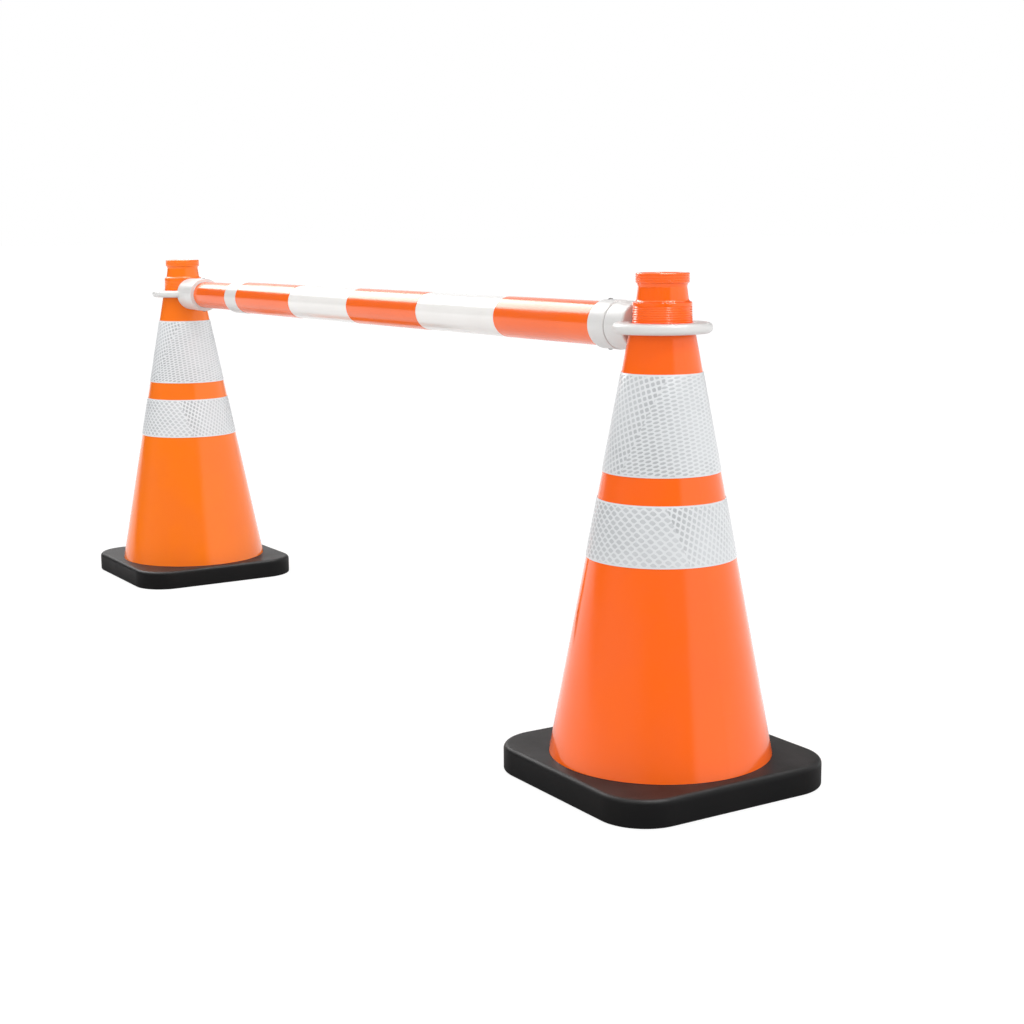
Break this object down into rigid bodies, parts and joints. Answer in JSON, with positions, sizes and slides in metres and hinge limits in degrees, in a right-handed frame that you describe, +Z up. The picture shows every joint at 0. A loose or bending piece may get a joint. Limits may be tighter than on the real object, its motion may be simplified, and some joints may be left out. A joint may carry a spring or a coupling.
{
  "type": "cone bar",
  "caption": "Telescopic barrier bar with orange and white stripes, held at each end by a ring over the neck of a reflective traffic cone on a square rubber base.",
  "frame": {"origin": "on the floor, midway between the axes of the two cones", "axes": "+X along the bar to the cone that carries the outer tube, +Y across the bar, +Z up"},
  "size_m": [2.164, 0.364, 0.715],
  "materials": {
    "cone_orange": "glossy moulded",
    "base_rubber": "satin moulded",
    "reflective_sheet": "prismatic reflective sheet",
    "tube_white": "glossy extruded",
    "stripe_orange": "glossy film",
    "end_plastic": "satin moulded",
    "seal_rubber": "matt",
    "bush_plastic": "matt moulded",
    "screw_steel": "dark plated"
  },
  "bodies": {
    "right_base": {"right_cone_base": "base_rubber"},
    "right_cone": {"right_cone_shell": "cone_orange", "right_upper_sleeve": "reflective_sheet", "right_lower_sleeve": "reflective_sheet"},
    "outer_bar": {"outer_tube": "tube_white", "outer_stripe_1": "stripe_orange", "outer_stripe_2": "stripe_orange", "outer_stripe_3": "stripe_orange", "right_end_collar": "end_plastic", "right_ring_cap": "end_plastic", "right_end_screws": "screw_steel", "mouth_collar": "end_plastic", "friction_ring": "seal_rubber"},
    "inner_bar": {"inner_tube": "tube_white", "inner_stripe_1": "stripe_orange", "inner_stripe_2": "stripe_orange", "left_end_collar": "end_plastic", "left_ring_cap": "end_plastic", "left_end_screws": "screw_steel", "stop_bush": "bush_plastic", "guide_bush": "bush_plastic"},
    "left_cone": {"left_cone_shell": "cone_orange", "left_upper_sleeve": "reflective_sheet", "left_lower_sleeve": "reflective_sheet"},
    "left_base": {"left_cone_base": "base_rubber"}
  },
  "joints": [
    {"name": "right_cone_turn", "type": "hinge", "parent": "right_base", "child": "right_cone", "pos_m": [0.9, 0, 0], "axis": [0, 0, 1], "continuous": true},
    {"name": "bar_lift", "type": "slide", "parent": "right_cone", "child": "outer_bar", "axis": [0, 0, 1], "range_m": [0, 0.15]},
    {"name": "bar_extend", "type": "slide", "parent": "outer_bar", "child": "inner_bar", "axis": [-1, 0, 0], "range_m": [-0.185, 0.8]},
    {"name": "left_cone_drop", "type": "slide", "parent": "inner_bar", "child": "left_cone", "axis": [0, 0, 1], "range_m": [-0.15, 0]},
    {"name": "left_base_turn", "type": "hinge", "parent": "left_cone", "child": "left_base", "pos_m": [-0.9, 0, 0], "axis": [0, 0, 1], "continuous": true}
  ],
  "couplings": [
    {"joint": "left_cone_drop", "follows": "bar_lift", "ratio": -1}
  ]
}
